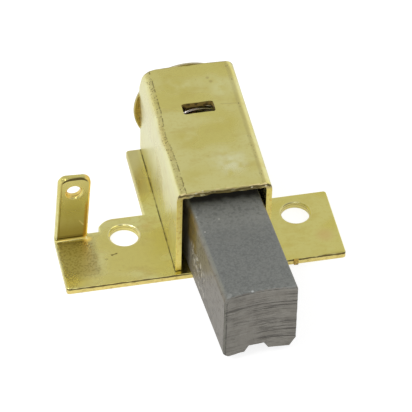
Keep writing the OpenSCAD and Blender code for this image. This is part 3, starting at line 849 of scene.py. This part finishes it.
def tamped_plug():
    piece = roughcast("tamped_plug", "tamping_plug", 3, 0.03, 2.5, lambda p: p.y > 0.4)
    return dress(piece, tamped_powder(), "tamping_plug", "brush")


# ---- coil spring and braided shunt ----

def add_tube(work, line, radius, sides, outs):
    """Round wire along a line of points, with domed ends. Each of outs points off the line."""
    rings = []
    for i, point in enumerate(line):
        ahead = (line[min(i + 1, len(line) - 1)] - line[max(i - 1, 0)]).normalized()
        first = (outs[i] - ahead * outs[i].dot(ahead)).normalized()
        rings.append((point, first, ahead.cross(first), radius))
    lead = (line[0] - line[1]).normalized() * radius
    tail = (line[-1] - line[-2]).normalized() * radius
    for share, size in ((0.5, 0.84), (0.85, 0.5)):
        rings.insert(0, (line[0] + lead * share, rings[0][1], rings[0][2], radius * size))
        rings.append((line[-1] + tail * share, rings[-1][1], rings[-1][2], radius * size))
    turns = [2 * math.pi * k / sides for k in range(sides)]
    loops = [[work.verts.new((p + (u * math.cos(a) + v * math.sin(a)) * r) * MM) for a in turns]
             for p, u, v, r in rings]
    for below, above in zip(loops, loops[1:]):
        for k in range(sides):
            after = (k + 1) % sides
            work.faces.new((below[k], below[after], above[after], above[k]))
    work.faces.new(loops[0][::-1])
    work.faces.new(loops[-1])


def coil_spring():
    """Spring with closed end turns, from the brush's tail to the rear cap."""
    wire, radius, open_turns, steps = 0.8, 4.7, 4, 60
    phase = math.radians(75)
    start = TAIL + Vector((0, wire / 2 + radius * math.sin(SKEW), 0))
    end = CAP_CENTRE - Vector((0, wire / 2, 0))
    pitch = (end.y - start.y - 2 * wire) / open_turns
    line, outs = [], []
    for i in range((open_turns + 2) * steps + 1):
        turns = i / steps
        middling = max(0, min(turns - 1, open_turns))
        run = wire * min(turns, 1) + pitch * middling + wire * max(0, turns - 1 - open_turns)
        angle = phase + 2 * math.pi * turns
        out = Vector((math.sin(angle), 0, math.cos(angle)))
        line.append(start + (end - start) * (run / (end.y - start.y)) + out * radius)
        outs.append(out)
    work = bmesh.new()
    clear_of_skin = 0.005
    add_tube(work, line, wire / 2 - clear_of_skin, 16, outs)
    piece = finished(work, "coil_spring", 60, even=False)
    dress(piece, drawn_wire(), "compression_spring")
    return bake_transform(piece)


def braided_shunt():
    """Copper braid: eight carriers wound each way, two wires to a carrier, over a round core."""
    in_plug, short_of_cap = 1.2, 1.1
    start = TAIL + Vector((-math.sin(SKEW), math.cos(SKEW), 0)) * in_plug
    end = CAP_CENTRE - Vector((0, short_of_cap, 0))
    carriers, steps, turns, ring, lift = 8, 170, 2.6, 0.74, 0.075
    core, strand = 0.62, 0.078
    line = []
    for i in range(steps + 1):
        t = i / steps
        ease = smooth_step(t, 0, 1)
        sag = 0.8 * math.sin(math.pi * t) ** 2
        line.append(Vector((start.x + (end.x - start.x) * ease + sag, start.y + (end.y - start.y) * t,
                            start.z + (end.z - start.z) * ease - sag / 2)))
    work = bmesh.new()
    add_tube(work, line[::5], core, 12, [Vector((0, 0, 1))] * len(line))
    for way in (-1, 1):
        for carrier in range(carriers):
            for wire in (-0.5, 0.5):
                path, outs = [], []
                for i, point in enumerate(line):
                    wind = turns * i / steps
                    angle = 2 * math.pi * (way * wind + (carrier + 0.42 * wire) / carriers)
                    out = Vector((math.sin(angle), 0, math.cos(angle)))
                    height = ring + way * lift * math.cos(2 * math.pi * carriers * wind)
                    path.append(point + out * height)
                    outs.append(out)
                add_tube(work, path, strand, 5, outs)
    piece = finished(work, "braided_shunt", 60, even=False)
    dress(piece, copper_strand(), "shunt")
    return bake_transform(piece)


# ---- camera, floor and light ----

def front_camera():
    """A long lens, well back, looking down on the part from the front and a little to its left."""
    turn, lift, roll = math.radians(-12.9017), math.radians(43.9418), math.radians(1.5703)
    distance = 486.589
    aim = Vector((0.1677, 3.5448, PLATE_TOP))
    back = Vector((math.sin(turn) * math.cos(lift), -math.cos(turn) * math.cos(lift), math.sin(lift)))
    side = Vector((0, 0, 1)).cross(back).normalized()
    up = back.cross(side)
    x_axis = side * math.cos(roll) + up * math.sin(roll)
    y_axis = up * math.cos(roll) - side * math.sin(roll)
    camera = bpy.data.objects.new("camera", bpy.data.cameras.new("camera"))
    camera.data.sensor_width = 36
    camera.data.lens = 308.45
    camera.data.clip_start = 0.01
    camera.data.clip_end = 10
    place = Matrix((x_axis, y_axis, back)).transposed().to_4x4()
    place.translation = (aim + back * distance) * MM
    camera.matrix_world = place
    bpy.context.scene.collection.objects.link(camera)
    bpy.context.scene.camera = camera


def floor_white():
    """White that glows a little for the camera and in reflections, so that it stays white."""
    material = bpy.data.materials.new("floor_white")
    f = Nodes(material)
    f.tree.nodes.clear()
    ray = f.node("LightPath").outputs
    seen = f.math("MULTIPLY", ray["Is Camera Ray"], 0.80)
    mirrored = f.math("MULTIPLY", ray["Is Glossy Ray"], 0.52)
    glow = f.node("Emission", Strength=f.math("MAXIMUM", seen, mirrored))
    matt = f.node("BsdfDiffuse", Color=(0.42, 0.42, 0.42, 1))
    both = f.node("AddShader")
    f.feed(both.inputs[0], glow.outputs[0])
    f.feed(both.inputs[1], matt.outputs[0])
    f.node("OutputMaterial", Surface=both.outputs[0])
    return material


def studio_floor():
    """Round table top, just under the part."""
    work = bmesh.new()
    bmesh.ops.create_circle(work, cap_ends=True, radius=0.6, segments=96)
    mesh = bpy.data.meshes.new("floor")
    work.to_mesh(mesh)
    work.free()
    floor = bpy.data.objects.new("floor", mesh)
    floor.location.z = -0.02 * MM
    bpy.context.scene.collection.objects.link(floor)
    floor.data.materials.append(floor_white())


def lamp(name, place, target, size, power):
    """A round soft lamp. Its place, target and size are in metres."""
    light = bpy.data.lights.new(name, "AREA")
    light.shape = "DISK"
    light.size = size
    light.energy = power
    thing = bpy.data.objects.new(name, light)
    thing.location = place
    thing.rotation_euler = (Vector(place) - Vector(target)).to_track_quat("Z", "Y").to_euler()
    bpy.context.scene.collection.objects.link(thing)


def studio_world():
    """Soft room: pale all round, darker overhead towards the camera, which the brass mirrors."""
    world = bpy.data.worlds.new("room")
    bpy.context.scene.world = world
    w = Nodes(world)
    w.tree.nodes.clear()
    place = w.node("TexCoord").outputs["Generated"]
    overhead = w.vector("DOT_PRODUCT", place, Vector((-0.16, -0.70, 0.69)))
    share = w.node("MapRange", Value=overhead, From_Min=-1.0).outputs["Result"]
    ramp = w.node("ValToRGB", Fac=share)
    steps = ramp.color_ramp.elements
    steps[0].color = (0.66, 0.66, 0.66, 1)
    steps[1].color = (0.42, 0.42, 0.42, 1)
    for position, level in ((0.62, 0.635), (0.90, 0.48), (0.965, 0.43)):
        steps.new(position).color = (level, level, level, 1)
    skirt = w.fade(w.node("SeparateXYZ", Vector=place).outputs["Z"], 0.12, 0.42)
    pale = w.math("MAXIMUM", w.node("LightPath").outputs["Is Camera Ray"], skirt)
    glow = w.node("Background", Color=w.blend(pale, ramp.outputs["Color"], (1, 1, 1, 1)))
    w.node("OutputWorld", Surface=glow.outputs[0])


# The noise that shakes the torn and cast skins is drawn from this seed, so that each run is alike
noise.seed_set(1)
for make in (stamped_plate, folded_box, pressed_cap, carbon_block, solder_dome, tamped_plug,
             coil_spring, braided_shunt):
    make()
front_camera()
studio_floor()
lamp("key", (-0.35, -0.10, 0.45), (0, 0, 0), 0.30, 1.1)
lamp("front", (-0.113, -0.491, 0.486), (0, 9 * MM, 12 * MM), 0.16, 0.28)
studio_world()
bpy.context.scene.view_settings.view_transform = "Standard"
